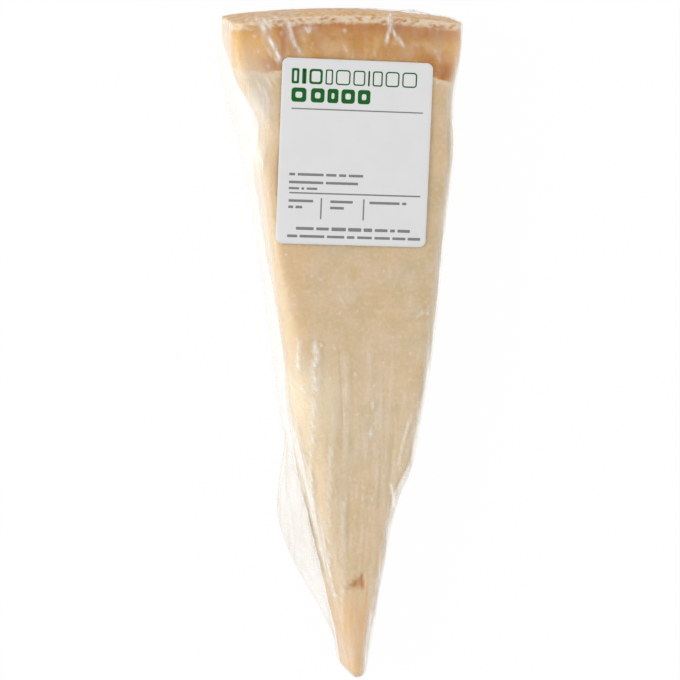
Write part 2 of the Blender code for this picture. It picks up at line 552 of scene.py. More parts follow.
def cloud(places: np.ndarray, per_mm: float | Sequence[float], seed: float, octaves: int = 2) -> np.ndarray:
    """Smooth noise, about -1 to 1, at many places.

    Args:
        places: the places in millimetres, one to a row.
        per_mm: features in a millimetre, one number or one for each axis.
        seed: where in the noise to start.
        octaves: how many octaves are added.

    Returns:
        One value for each place.
    """
    scaled = places * np.asarray(per_mm) + seed
    values = np.empty(len(scaled))
    for index, point in enumerate(scaled):
        values[index] = noise.fractal(Vector(point), 1.0, 2.0, octaves)
    return values


@dataclass
class Rings:
    """The rings of a closed loft: where each is measured, where it lies and how far it is drawn in."""

    measured: np.ndarray
    placed: np.ndarray
    drawn_in: np.ndarray
    share: np.ndarray


@dataclass
class WedgeForm:
    """The pack's outer form, the same as the frame's film solid but finer, and cheese forms inside it."""

    height: float = 27.0
    tip_height: float = 21.5
    rind_y: float = 102.7
    tip_y: float = -105.6
    rind_sag: float = 2.6
    rind_half_width: float = 35.5
    rind_lean: float = 2.0
    curve_from_y: float = 50.0
    taper_from_y: float = -15.0
    side_stations: tuple = (
        (-112.0, 3.0, 5.2),
        (-96.8, 0.6, 8.0),
        (-72.0, -5.0, 12.0),
        (-50.0, -10.4, 16.0),
        (-37.0, -13.6, 20.9),
        (-22.0, -17.0, 23.5),
        (0.0, -19.8, 27.1),
        (40.0, -25.5, 31.1),
        (60.0, -29.3, 33.6),
        (74.0, -33.1, 32.9),
        (90.0, -35.7, 35.0),
        (105.0, -35.7, 36.0),
    )
    low_radius: float = 1.5
    sharp_radius: float = 1.6
    soft_radius: float = 7.8
    soft_radius_at_label: float = 3.5
    radius_share: float = 0.42
    rind_edge: float = 1.2
    tip_edge: float = 3.0
    wing_width: float = 9.4
    wing_z: float = 8.0
    wing_from_y: float = -24.0
    wing_widest_y: float = -58.0
    wing_to_y: float = -101.0
    shift: np.ndarray = field(default_factory=lambda: np.zeros(3))

    def fit(self, low: Vector, high: Vector) -> None:
        """Finds the shift that lays the form over the frame's solid.

        Args:
            low: the solid's lowest corner, in metres.
            high: its highest corner, in metres.
        """
        along = np.linspace(self.tip_y, self.rind_y, 400)
        leftmost = self.side(along, 1).min()
        self.shift = np.array([low.x / MM - leftmost, low.y / MM - self.tip_y, low.z / MM])
        log.info("form shifted by %s, frame height %.2f", np.round(self.shift, 3), (high.z - low.z) / MM)

    def side(self, along: np.ndarray, column: int) -> np.ndarray:
        """The film's left (column 1) or right (column 2) side at distances along the pack."""
        return followed(self.side_stations, along, column)

    def soft_at(self, along: np.ndarray) -> np.ndarray:
        """The radius of the soft edge at the top left, which is sharper beside the label."""
        return self.soft_radius + (self.soft_radius_at_label - self.soft_radius) * eased(along, 2.0, 28.0)

    def drop(self, across: np.ndarray, along: np.ndarray) -> np.ndarray:
        """How far the soft edge lies below the top face at a place seen from above."""
        radius = self.soft_at(along)
        over = np.clip(radius - (across - self.side(along, 1)), 0.0, radius)
        return radius - np.sqrt(radius**2 - over**2)

    def height_at(self, along: np.ndarray) -> np.ndarray:
        """The pack's height along its length."""
        return self.height + (self.tip_height - self.height) * eased(along, self.taper_from_y, self.tip_y)

    def wing_at(self, along: np.ndarray) -> np.ndarray:
        """How far the fin of gathered film stands out along the pack."""
        rise = eased(along, self.wing_from_y, self.wing_widest_y)
        fall = 1.0 - eased(along, self.wing_widest_y, self.wing_to_y)
        return self.wing_width * rise * fall

    def rind_offset(self, across: np.ndarray, along: np.ndarray, up: np.ndarray) -> np.ndarray:
        """How far the wheel's round, leaning side moves a point back along the pack."""
        round_side = self.rind_sag * (across / self.rind_half_width) ** 2
        lean = self.rind_lean * (np.clip(up, 0.0, None) / self.height) ** 1.5
        return (round_side + lean) * eased(along, self.curve_from_y, self.rind_y)

    def rings(self, stations: int, edge_steps: int, face_steps: int) -> Rings:
        """Lays out the rings from the middle of the tip to the middle of the rind.

        Args:
            stations: rings along the pack's length.
            edge_steps: rings that round each end's edge.
            face_steps: rings across each end's face.

        Returns:
            The rings.
        """
        straight = np.linspace(self.tip_y + self.tip_edge, self.rind_y - self.rind_edge, stations)
        parts = []
        for end_y, inward, radius in ((self.tip_y, 1.0, self.tip_edge), (self.rind_y, -1.0, self.rind_edge)):
            angles = np.radians(90.0 * np.arange(1, edge_steps + 1) / edge_steps)
            shares = 1.0 - np.arange(1, face_steps + 1) / (face_steps + 0.5)
            rounded = end_y + inward * radius * (1.0 - np.sin(angles))
            placed = np.concatenate([rounded, np.full(face_steps, end_y)])
            drawn = np.concatenate([radius * (1.0 - np.cos(angles)), np.full(face_steps, radius)])
            share = np.concatenate([np.ones(edge_steps), shares])
            measured = np.full(len(placed), end_y + inward * radius)
            parts.append((measured, placed, drawn, share))
        middle = (straight, straight, np.zeros(stations), np.ones(stations))
        tip = [column[::-1] for column in parts[0]]
        return Rings(*(np.concatenate(columns) for columns in zip(tip, middle, parts[1])))


@dataclass
class Skin:
    """A lofted surface: its places, and how far each is round the pack from the top's middle line."""

    places: np.ndarray
    around: np.ndarray

    def normals(self) -> np.ndarray:
        """The outward direction at each place."""
        ahead = np.roll(self.places, -1, axis=1) - np.roll(self.places, 1, axis=1)
        along = np.gradient(self.places, axis=0)
        direction = np.cross(ahead, along)
        length = np.linalg.norm(direction, axis=2, keepdims=True)
        direction = direction / np.maximum(length, 1e-9)
        middle = self.places.mean(axis=(0, 1))
        outward = np.sum(direction * (self.places - middle), axis=2).mean()
        return direction if outward > 0.0 else -direction


@dataclass
class Section:
    """How finely a section is divided, and how it differs from the film's own outline."""

    low_steps: int = 70
    corner_steps: int = 6
    flank_steps: int = 44
    top_steps: int = 150
    soft_steps: int = 14
    wing_steps: int = 8
    tent_power: float = 1.25
    wing_edge: float = 0.35

    def arc(
        self, middle_x: np.ndarray, middle_z: np.ndarray, radius: np.ndarray, start: float, steps: int
    ) -> tuple:
        """A quarter circle in every ring, turning anticlockwise."""
        angles = np.radians(start + 90.0 * np.arange(steps + 1) / steps)[None, :]
        return middle_x + radius * np.cos(angles), middle_z + radius * np.sin(angles)

    def run(self, start: tuple, end: tuple, steps: int) -> tuple:
        """The points that divide a straight run in every ring, without its two ends."""
        share = (np.arange(1, steps) / steps)[None, :]
        return tuple(a + (b - a) * share for a, b in zip(start, end))

    def left_flank(self, left: np.ndarray, top: np.ndarray, wing: np.ndarray, wing_z: float) -> list:
        """The left flank from the top down, drawn out into the fin and back under it."""
        edge_top = wing_z + self.wing_edge
        share = (np.arange(1, self.flank_steps + 1) / self.flank_steps)[None, :] ** 0.8
        up = top + (edge_top - top) * share
        reach = share**self.tent_power
        upper = (left - wing * reach, up)
        edge = (left - wing - self.wing_edge * eased(wing, 0.0, 1.0), np.full_like(wing, wing_z))
        back = (np.arange(self.wing_steps + 1) / self.wing_steps)[None, :]
        under = (left - wing * (1.0 - back), wing_z - self.wing_edge - 0.9 * back + 0.0 * wing)
        return [upper, edge, under]

    def outline(self, form: WedgeForm, rings: Rings, inset: "Inset") -> tuple[np.ndarray, np.ndarray]:
        """Every ring's outline before its ends are drawn in.

        Args:
            form: the pack's form.
            rings: where the rings are measured.
            inset: how far this skin lies inside the film.

        Returns:
            How far across and how far up each point is, one ring to a row.
        """
        along = rings.measured[:, None]
        left = form.side(along, 1) + inset.left(along)
        right = form.side(along, 2) - inset.right(along)
        high = form.height_at(along) - inset.gap
        base = inset.gap
        widest = (right - left) * form.radius_share
        low = np.minimum(form.low_radius, widest)
        sharp = np.minimum(form.sharp_radius, widest)
        soft = np.minimum(form.soft_at(along) - inset.gap, widest)
        wing = form.wing_at(along) * inset.wing_share
        low_right = self.arc(right - low, base + low, low, -90.0, self.corner_steps)
        top_right = self.arc(right - sharp, high - sharp, sharp, 0.0, self.corner_steps)
        top_left = self.arc(left + soft, high - soft, soft, 90.0, self.soft_steps)
        low_left = self.arc(left + low, base + low, low, 180.0, self.corner_steps)
        ends = [(x[:, :1], z[:, :1]) for x, z in (low_right, top_right, top_left, low_left)]
        tails = [(x[:, -1:], z[:, -1:]) for x, z in (low_right, top_right, top_left, low_left)]
        flank = self.left_flank(left, high - soft, wing, form.wing_z)
        flank_end = (flank[-1][0][:, -1:], flank[-1][1][:, -1:])
        parts = [self.run(tails[3], ends[0], self.low_steps), low_right]
        parts += [self.run(tails[0], ends[1], self.flank_steps), top_right]
        parts += [self.run(tails[1], ends[2], self.top_steps), top_left, *flank]
        parts += [self.run(flank_end, ends[3], 8), low_left]
        across, up = (np.concatenate([part[axis] for part in parts], axis=1) for axis in (0, 1))
        undercut = inset.undercut(along) * (1.0 - up / high) * (right - across) / (right - left)
        return across + undercut, up

    def loft(self, form: WedgeForm, rings: Rings, inset: "Inset") -> Skin:
        """The whole skin, with its ends drawn in and leant back.

        Args:
            form: the pack's form.
            rings: the rings of the skin.
            inset: how far it lies inside the film.

        Returns:
            The skin, in the row frame's millimetres.
        """
        across, up = self.outline(form, rings, inset)
        middle_x = (across[:, self.low_steps // 2] + across.mean(axis=1))[:, None] / 2.0
        middle_z = form.height_at(rings.measured)[:, None] / 2.0
        half_x = (form.side(rings.measured, 2) - form.side(rings.measured, 1))[:, None] / 2.0
        drawn, share = rings.drawn_in[:, None], rings.share[:, None]
        across = middle_x + (across - middle_x) * (1.0 - drawn / half_x) * share
        up = middle_z + (up - middle_z) * (1.0 - drawn / middle_z) * share
        placed = np.clip(rings.placed, form.tip_y + inset.gap, form.rind_y - inset.gap)[:, None]
        along = placed - form.rind_offset(across, placed, up)
        places = np.stack([across, along + 0.0 * across, up], axis=2)
        top_middle = self.top_middle()
        step = np.linalg.norm(places - np.roll(places, 1, axis=1), axis=2)
        step[:, 0] = 0.0
        walked = np.cumsum(step, axis=1)
        turned = walked[:, top_middle : top_middle + 1] - walked
        around = turned + across[:, top_middle : top_middle + 1]
        return Skin(places + form.shift, around)

    def top_middle(self) -> int:
        """The place in a ring of the top's middle point."""
        before_top = (self.low_steps - 1) + 2 * (self.corner_steps + 1) + (self.flank_steps - 1)
        return before_top + self.top_steps // 2


@dataclass
class Inset:
    """How far a skin lies inside the taut film. The film's own inset is nothing at all."""

    gap: float = 0.0
    wing_share: float = 1.0

    def left(self, along: np.ndarray) -> np.ndarray:
        """How far the left side's top is drawn in."""
        return np.full_like(along, self.gap)

    def right(self, along: np.ndarray) -> np.ndarray:
        """How far the right side is drawn in."""
        return np.full_like(along, self.gap)

    def undercut(self, along: np.ndarray) -> np.ndarray:
        """How much further in the left side's foot is than its top."""
        return np.zeros_like(along)


@dataclass
class CheeseInset(Inset):
    """The cheese inside the film: the film bridges a hollow on the left and a step on the right."""

    gap: float = 0.40
    wing_share: float = 0.0
    left_stations: tuple = (
        (-112.0, 0.5, 0.3),
        (-60.0, 0.5, 0.4),
        (-40.0, 0.5, 0.7),
        (-25.0, 0.5, 1.5),
        (-12.0, 0.6, 3.0),
        (0.0, 0.6, 3.0),
        (18.0, 0.6, 2.2),
        (30.0, 0.7, 1.7),
        (43.0, 1.0, 1.6),
        (49.0, 1.3, 1.2),
        (55.6, 2.6, 0.8),
        (62.0, 5.8, 0.4),
        (68.0, 7.6, 0.4),
        (74.5, 5.8, 0.6),
        (80.0, 3.4, 1.0),
        (89.5, 1.4, 1.2),
        (96.0, 0.6, 0.7),
        (110.0, 0.4, 0.4),
    )
    right_stations: tuple = (
        (-112.0, 0.4),
        (-62.0, 0.6),
        (-54.0, 1.4),
        (-46.5, 1.9),
        (-38.0, 1.3),
        (-28.0, 0.9),
        (-20.0, 0.9),
        (-5.0, 0.45),
        (48.0, 0.5),
        (62.0, 1.5),
        (74.0, 0.4),
        (110.0, 0.25),
    )

    def left(self, along: np.ndarray) -> np.ndarray:
        """Drawn in where the film bridges the hollow beside the label."""
        return followed(self.left_stations, along, 1)

    def right(self, along: np.ndarray) -> np.ndarray:
        """Drawn in beside the label and where the side steps in above the tip."""
        return followed(self.right_stations, along, 1)

    def undercut(self, along: np.ndarray) -> np.ndarray:
        """How much further in the left side's foot is than its top."""
        return followed(self.left_stations, along, 2)


def closed_loft(name: str, places: np.ndarray) -> bpy.types.Object:
    """Makes one closed mesh through rings of points.

    Args:
        name: the piece's name.
        places: the rings, in millimetres: ring, point, axis.

    Returns:
        The piece, smooth shaded, its points in the order of the rings.
    """
    rings, points = places.shape[:2]
    ends = [places[0].mean(axis=0), places[-1].mean(axis=0)]
    vertices = np.concatenate([places.reshape(-1, 3), np.array(ends)]) * MM
    first = np.arange(rings - 1)[:, None] * points + np.arange(points)[None, :]
    following = np.arange(rings - 1)[:, None] * points + (np.arange(points)[None, :] + 1) % points
    quads = np.stack([first, following, following + points, first + points], axis=2).reshape(-1, 4)
    ring = np.arange(points)
    after = (ring + 1) % points
    last = (rings - 1) * points
    near = np.stack([after, ring, np.full(points, rings * points)], axis=1)
    far = np.stack([ring + last, after + last, np.full(points, rings * points + 1)], axis=1)
    mesh = bpy.data.meshes.new(name)
    mesh.from_pydata(vertices.tolist(), [], quads.tolist() + near.tolist() + far.tolist())
    mesh.validate()
    mesh.shade_smooth()
    piece = bpy.data.objects.new(name, mesh)
    bpy.context.scene.collection.objects.link(piece)
    return piece


def carry(piece: bpy.types.Object, name: str, values: np.ndarray) -> None:
    """Stores a value at each point of a loft's rings, and the end rings' means at its two end points."""
    attribute = piece.data.attributes.new(name, "FLOAT", "POINT")
    ends = [values[0].mean(), values[-1].mean()]
    attribute.data.foreach_set("value", np.concatenate([values.ravel(), ends]).astype(np.float32))


def dress(piece: bpy.types.Object, material: bpy.types.Material, node: str) -> None:
    """Gives a piece its material, body and slot, and hides the frame's node that it stands for."""
    piece.data.materials.append(material)
    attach(piece, BODY)
    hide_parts(node)
    log.info("%s: %d faces", piece.name, len(piece.data.polygons))


# ---------------------------------------------------------------------------------------------
# Cheese
# ---------------------------------------------------------------------------------------------


@dataclass(frozen=True)
class Patch:
    """A soft spot seen from above: its middle, its reach, its strength and how it leans."""

    x: float
    y: float
    reach_x: float
    reach_y: float
    strength: float
    slope: float = 0.0

    def at(self, x: np.ndarray, y: np.ndarray) -> np.ndarray:
        """The patch's strength at places seen from above."""
        across = (x - self.x - self.slope * (y - self.y)) / self.reach_x
        return self.strength * np.exp(-(across**2) - ((y - self.y) / self.reach_y) ** 2)


def strongest(patches: Sequence[Patch], x: np.ndarray, y: np.ndarray) -> np.ndarray:
    """The strongest of some patches at each place."""
    return np.max([patch.at(x, y) for patch in patches], axis=0)


AMBER_STAINS = (
    Patch(29.5, 82.8, 3.2, 3.0, 1.0),
    Patch(26.0, 86.5, 5.0, 2.5, 0.5),
    Patch(-23.5, 84.5, 3.6, 2.4, 0.8),
    Patch(-11.0, 97.4, 7.0, 1.6, 0.8),
    Patch(5.0, 96.8, 9.0, 1.8, 0.5),
    Patch(15.6, 96.2, 2.6, 2.6, 1.0),
    Patch(24.0, 94.5, 6.0, 1.8, 0.5),
    Patch(-20.4, 92.5, 1.3, 6.0, 0.9),
    Patch(-16.2, 91.0, 1.0, 5.0, 0.6),
    Patch(-2.0, 93.0, 6.0, 1.4, 0.4),
)
WARM_STRIPS = (
    Patch(-7.9, -45.0, 1.7, 26.0, 0.9, -0.041),
    Patch(-13.3, -36.0, 1.1, 12.0, 0.6),
    Patch(-18.5, -2.0, 1.3, 14.0, 0.6, -0.05),
    Patch(-5.0, -78.0, 1.8, 14.0, 0.6, -0.12),
)


@dataclass
class Cheese:
    """The wedge of cheese inside the film."""

    form: WedgeForm
    stations: int = 205
    edge_steps: int = 5
    face_steps: int = 22
    section: Section = field(default_factory=Section)
    inset: CheeseInset = field(default_factory=CheeseInset)
    cut_wave: float = 0.20
    grain: float = 0.10
    torn: float = 0.30
    crack_corners: tuple = ((-0.8, -76.9), (6.2, -76.6), (5.6, -71.6))
    crack_depth: float = 0.7
    dot_pitch: float = 3.0
    dot_radius: float = 0.9

    def build(self) -> bpy.types.Object:
        """Builds and dresses the cheese.

        Returns:
            The piece.
        """
        rings = self.form.rings(self.stations, self.edge_steps, self.face_steps)
        skin = self.section.loft(self.form, rings, self.inset)
        normals = skin.normals()
        shape = skin.places.shape[:2]
        flat = skin.places.reshape(-1, 3)
        facing = np.abs(normals.reshape(-1, 3))
        depth = self.rind_depth(flat)
        on_rind = eased(depth, 1.0, 0.3) * eased(facing[:, 1], 0.4, 0.8)
        crack = self.crack_at(flat, normals.reshape(-1, 3))
        dots = self.dots_at(flat) * on_rind
        offset = self.relief(flat, facing, depth) - crack * self.crack_depth - dots * 0.45
        moved = skin.places + normals * offset.reshape(*shape, 1)
        piece = closed_loft("cheese", moved)
        carry(piece, "rind_depth", depth.reshape(shape))
        carry(piece, "stain", self.stain_at(flat, facing).reshape(shape))
        carry(piece, "warm", self.warm_at(flat, facing).reshape(shape))
        # The pale value carries cream in the paste and a painted highlight on the flanks.
        pale = self.cream_and_highlight_at(flat, normals.reshape(-1, 3))
        carry(piece, "pale", pale.reshape(shape))
        carry(piece, "crack", np.clip(crack, 0.0, 1.0).reshape(shape))
        carry(piece, "pin_dot", dots.reshape(shape))
        dress(piece, CheeseFinish().make(), PACK_NODE)
        return piece

    def rind_depth(self, places: np.ndarray) -> np.ndarray:
        """How deep in from the rind's outer side each place lies."""
        local = places - self.form.shift
        rind = self.form.rind_y - self.inset.gap
        return rind - local[:, 1] - self.form.rind_offset(local[:, 0], np.full(len(local), rind), local[:, 2])

    def relief(self, places: np.ndarray, facing: np.ndarray, depth: np.ndarray) -> np.ndarray:
        """The surface's own unevenness: waves of the cut, grain, torn flanks and crumbly rind edges.

        Args:
            places: the skin's places.
            facing: the size of each part of its outward direction.
            depth: how deep in from the rind each place lies.

        Returns:
            How far each place moves out, never enough to reach the film.
        """
        flank = eased(facing[:, 0], 0.5, 0.9)
        wave = cloud(places, (0.05, 0.03, 0.05), 3.0) * self.cut_wave
        grain = cloud(places, 0.55, 11.0, 3) * self.grain
        torn = cloud(places, (0.12, 0.16, 0.22), 23.0, 4) * self.torn * flank
        drag = cloud(places, (0.04, 0.9, 0.04), 37.0) * 0.05 * (1.0 - flank)
        chipped = np.clip(cloud(places, 0.20, 51.0, 3) - 0.25, 0.0, 1.0)
        edge = eased(facing[:, 0] * facing[:, 2], 0.15, 0.45)
        crumbly = cloud(places, (0.6, 0.9, 0.6), 67.0, 3) * 0.28 * swell(depth, 1.4, 1.3)
        total = wave + grain + torn + drag + crumbly - chipped * edge * 1.1
        return np.minimum(total, 0.22)

    def crack_at(self, places: np.ndarray, normals: np.ndarray) -> np.ndarray:
        """How deep the chipped notch near the tip is, as a share of its full depth."""
        corners = np.array(self.crack_corners) + self.form.shift[:2]
        point = places[:, :2] + 0.35 * cloud(places, 0.9, 71.0)[:, None]
        nearest = np.full(len(places), 1e9)
        for start, end in zip(corners, np.roll(corners, -1, axis=0)):
            edge = end - start
            inward = np.array([-edge[1], edge[0]]) / np.linalg.norm(edge)
            nearest = np.minimum(nearest, (point - start) @ inward)
        return eased(nearest, -0.25, 0.7) * eased(normals[:, 2], 0.5, 0.9)

    def stain_at(self, places: np.ndarray, facing: np.ndarray) -> np.ndarray:
        """How deep the amber is in its deeper patches on the top face."""
        local = places - self.form.shift
        warp = 1.2 * cloud(places, 0.22, 83.0, 3)
        deepest = strongest(AMBER_STAINS, local[:, 0] + warp, local[:, 1] - warp)
        return deepest * eased(facing[:, 2], 0.3, 0.8)

    def warm_at(self, places: np.ndarray, facing: np.ndarray) -> np.ndarray:
        """How warm the paste is in its long warm strips on the top face."""
        local = places - self.form.shift
        return strongest(WARM_STRIPS, local[:, 0], local[:, 1]) * eased(facing[:, 2], 0.3, 0.8)

    def cream_and_highlight_at(self, places: np.ndarray, normals: np.ndarray) -> np.ndarray:
        """How much cream the paste takes: paler down its lower face and beside the label, with a painted
        highlight on its left-facing flank and its right-facing side.

        Args:
            places: the skin's places.
            normals: the outward direction at each.

        Returns:
            The share of cream, the painted highlight included.
        """
        across, along = (places - self.form.shift)[:, :2].T
        left, right = self.form.side(along, 1), self.form.side(along, 2)
        share = (across - left) / (right - left)
        towards_tip = 1.0 - 0.85 * eased(along, -34.0, -64.0)
        lower = eased(along, 5.0, -18.0) * (1.0 - 0.4 * eased(along, -18.0, -34.0)) * towards_tip
        slope = 0.8 * eased(share, 0.48, 0.12) * lower
        face = 0.16 * eased(along, 20.0, -30.0) * towards_tip
        low_right = 0.35 * swell(along, -34.0, 16.0) * eased(share, 0.68, 0.88)
        beside = 0.28 * swell(along, 68.0, 17.0) * eased(across, -19.5, -24.0)
        # Painted highlight: cream on the left-facing flank, as if lit by the lamp on the left, then on the
        # right-facing side away from the rind end.
        flank = 0.42 * eased(-normals[:, 0], 0.35, 0.9) * (1.0 - 0.8 * eased(along, -50.0, -80.0))
        flank = flank * (1.0 - 0.75 * eased(along, 84.0, 95.0))
        flank = flank + 0.5 * eased(normals[:, 0], 0.2, 0.8) * eased(along, 88.0, 80.0)
        palest_with_highlight = np.max([slope, face, low_right, beside, flank], axis=0)
        return palest_with_highlight * eased(normals[:, 2], -0.5, 0.0)

    def dots_at(self, places: np.ndarray) -> np.ndarray:
        """The pricked dots in the rind: broken rows of shallow pits."""
        cell = np.round(places[:, [0, 2]] / self.dot_pitch)
        away = np.linalg.norm(places[:, [0, 2]] - cell * self.dot_pitch, axis=1)
        kept = np.sin(cell[:, 0] * 12.9898 + cell[:, 1] * 78.233) * 43758.5453
        kept = (kept - np.floor(kept)) < 0.55
        group = np.sin(places[:, 0] * 0.32 + 0.8) > -0.1
        return eased(away, self.dot_radius, self.dot_radius * 0.4) * kept * group


# ---------------------------------------------------------------------------------------------
# Film
# ---------------------------------------------------------------------------------------------


@dataclass(frozen=True)
class Crease:
    """A fold in the film along a line over the top of the pack."""

    line: tuple
    width: float = 0.5
    height: float = 0.3
    haze: float = 0.6

    def nearness(self, around: np.ndarray, along: np.ndarray) -> np.ndarray:
        """How near each place is to the fold's line: 1 on it, fading out at its sides and its ends."""
        best = np.zeros(around.shape)
        lengths = [math.dist(a, b) for a, b in zip(self.line, self.line[1:])]
        total = sum(lengths)
        passed = 0.0
        for (ax, ay), (bx, by), length in zip(self.line, self.line[1:], lengths):
            share = ((around - ax) * (bx - ax) + (along - ay) * (by - ay)) / length**2
            held = np.clip(share, 0.0, 1.0)
            away = np.hypot(around - ax - (bx - ax) * held, along - ay - (by - ay) * held)
            travelled = (passed + held * length) / total
            ends = np.clip(np.minimum(travelled, 1.0 - travelled) * total / (2.5 * self.width), 0.25, 1.0)
            best = np.maximum(best, np.exp(-((away / self.width) ** 2)) * ends)
            passed += length
        return best


@dataclass(frozen=True)
class Pleat:
    """A long fold that runs down to the tip, keeping its share of the way round the pack."""

    share: float
    start: float
    end: float
    width: float
    height: float
    haze: float

    def nearness(self, round_share: np.ndarray, half_round: np.ndarray, along: np.ndarray) -> np.ndarray:
        """How near each place is to the fold's line."""
        away = (round_share - self.share) * half_round
        ends = eased(along, self.start, self.start - 8.0) * eased(along, self.end - 3.0, self.end + 5.0)
        return np.exp(-((away / self.width) ** 2)) * ends


RIND_CREASES = (
    Crease(((-31.0, 100.0), (-31.8, 97.4)), 0.55, 0.2, 0.5),
    Crease(((-29.2, 100.5), (-25.9, 95.3), (-25.3, 94.0)), 0.8, 0.3, 0.6),
    Crease(((-25.3, 94.0), (-23.9, 91.6), (-22.4, 88.7), (-20.9, 85.7)), 0.55, 0.4, 0.85),
    Crease(((-26.9, 99.6), (-25.0, 96.9), (-23.6, 95.2)), 0.5, 0.2, 0.5),
    Crease(((-25.5, 90.4), (-23.5, 87.6), (-21.2, 85.4)), 0.45, 0.3, 0.6),
    Crease(((-24.4, 99.0), (-24.7, 96.8)), 0.5, 0.3, 0.7),
    Crease(((-23.4, 100.8), (-21.9, 98.2)), 0.6, 0.25, 0.5),
    Crease(((-19.4, 99.5), (-18.4, 96.3), (-17.8, 93.8), (-16.8, 91.1), (-14.6, 88.1)), 0.65, 0.35, 0.5),
    Crease(((-20.9, 97.4), (-20.1, 95.8)), 0.4, 0.2, 0.5),
    Crease(((-27.4, 99.0), (-26.6, 96.5)), 0.5, 0.2, 0.45),
    Crease(((-15.3, 95.2), (-13.3, 95.7), (-10.7, 95.8)), 0.95, 0.3, 1.0),
    Crease(((-2.0, 91.1), (-0.5, 88.5)), 0.65, 0.3, 0.6),
    Crease(((12.9, 102.0), (12.3, 98.3), (12.6, 96.0), (11.8, 93.2), (11.3, 91.1)), 0.6, 0.4, 0.8),
    Crease(((13.4, 96.3), (14.2, 93.7), (15.8, 92.4), (16.9, 91.3)), 0.5, 0.3, 0.65),
    Crease(((12.3, 89.0), (11.8, 87.9)), 0.45, 0.2, 0.4),
    Crease(((7.8, 90.0), (7.8, 87.6)), 0.5, 0.2, 0.35),
    Crease(((-26.0, 82.2), (-23.5, 77.7)), 0.45, 0.2, 0.4),
    Crease(((-24.4, 83.0), (-21.3, 77.0)), 0.4, 0.2, 0.3),
    Crease(((-26.8, 79.1), (-24.4, 73.4)), 0.4, 0.2, 0.3),
    Crease(((-28.7, 81.2), (-26.9, 77.0)), 0.45, 0.2, 0.35),
)
FACE_CREASES = (
    Crease(((-10.6, 8.4), (3.4, 7.8), (17.5, 7.8), (22.0, 8.6)), 0.4, -0.12, 0.0),
    Crease(((20.5, 8.2), (26.0, 10.0)), 0.5, 0.25, 0.55),
    Crease(((-15.3, 3.0), (-15.6, -3.0), (-16.0, -10.0)), 0.9, 0.45, 0.55),
    Crease(((-10.3, 2.8), (-10.5, -4.5), (-10.8, -16.0)), 1.25, 0.5, 0.75),
    Crease(((-10.8, -15.0), (-11.2, -29.0), (-11.9, -38.0), (-11.8, -48.0), (-11.5, -58.0)), 0.75, 0.45, 0.6),
    Crease(((-6.0, -30.0), (-6.0, -41.6), (-6.0, -54.0), (-5.7, -64.9)), 0.6, 0.3, 0.4),
    Crease(((-5.7, -64.9), (-6.5, -70.2), (-5.1, -75.9), (-3.5, -80.3)), 0.5, 0.35, 0.7),
    Crease(((-3.7, 1.5), (-2.8, -7.2), (-2.2, -18.9), (-1.9, -26.0)), 0.4, -0.35, 0.0),
    Crease(((-1.5, -1.7), (-1.0, -11.0), (-1.0, -23.0), (-1.0, -35.6)), 1.0, 0.3, 0.22),
    Crease(((-1.5, -44.9), (-1.3, -57.3), (-1.1, -72.9), (-1.0, -88.6)), 1.0, 0.3, 0.32),
    Crease(((0.3, -60.0), (0.5, -73.0), (0.4, -86.0)), 0.35, -0.25, 0.0),
    Crease(((-19.4, -11.7), (-17.8, -13.2), (-15.3, -13.9), (-13.5, -13.3), (-12.5, -11.8)), 0.5, 0.35, 0.5),
    Crease(((-14.1, -13.0), (-12.9, -16.1)), 0.6, 0.35, 0.7),
    Crease(((19.6, -22.0), (17.3, -29.3), (15.7, -36.7), (15.4, -40.0)), 0.5, 0.35, 0.45),
    Crease(((13.2, -42.9), (14.1, -47.0), (14.9, -52.3)), 0.5, 0.4, 0.8),
    Crease(((15.7, -40.5), (15.6, -51.1)), 0.35, -0.3, 0.0),
    Crease(((2.6, -43.0), (2.4, -50.0)), 0.45, 0.2, 0.3),
)
GLINTS = (
    Patch(7.2, -19.1, 0.6, 1.1, 0.6),
    Patch(6.7, -27.5, 0.7, 1.4, 0.6),
    Patch(-5.5, -33.3, 0.8, 1.6, 0.45),
    Patch(15.7, -37.0, 0.45, 0.7, 0.8),
    Patch(1.7, -9.0, 0.7, 0.5, 0.5),
    Patch(-4.6, -1.2, 0.4, 0.4, 0.6),
    Patch(-8.8, 0.0, 0.4, 0.4, 0.6),
    Patch(14.9, 4.6, 0.5, 0.4, 0.5),
    Patch(-11.1, -64.2, 0.6, 0.7, 0.8),
    Patch(7.4, -48.5, 0.4, 0.8, 0.7),
    Patch(4.6, -47.9, 0.5, 1.4, 0.4),
    Patch(-6.1, -41.0, 0.4, 0.6, 0.8),
    Patch(-6.2, -42.8, 0.35, 0.4, 0.8),
    Patch(-4.0, -79.1, 1.3, 0.4, 0.9),
    Patch(-4.0, -79.1, 0.4, 1.2, 0.9),
    Patch(-25.0, 84.9, 0.6, 0.6, 0.6),
    Patch(-28.0, 89.1, 0.5, 0.6, 0.5),
    Patch(-29.2, 93.6, 0.6, 0.5, 0.4),
    Patch(-20.9, 94.3, 0.5, 0.5, 0.6),
    Patch(-1.5, 95.5, 0.6, 0.6, 0.6),
    Patch(25.0, 95.8, 0.5, 0.4, 0.5),
    Patch(16.9, 91.1, 0.7, 0.6, 0.6),
)
VEILS = (
    Patch(-29.0, 72.0, 4.2, 11.0, 0.75),
    Patch(-29.0, 59.0, 3.4, 10.0, 0.60),
    Patch(-26.6, 44.0, 2.4, 11.0, 0.35),
    Patch(-31.5, 82.0, 2.6, 9.0, 0.35, -0.1),
    Patch(-25.5, 93.5, 2.2, 7.5, 0.22, -0.5),
    Patch(-18.0, 94.0, 1.5, 6.0, 0.12, -0.35),
    Patch(-21.0, 99.5, 7.0, 1.8, 0.18),
    Patch(12.6, 99.5, 2.0, 2.6, 0.20),
)


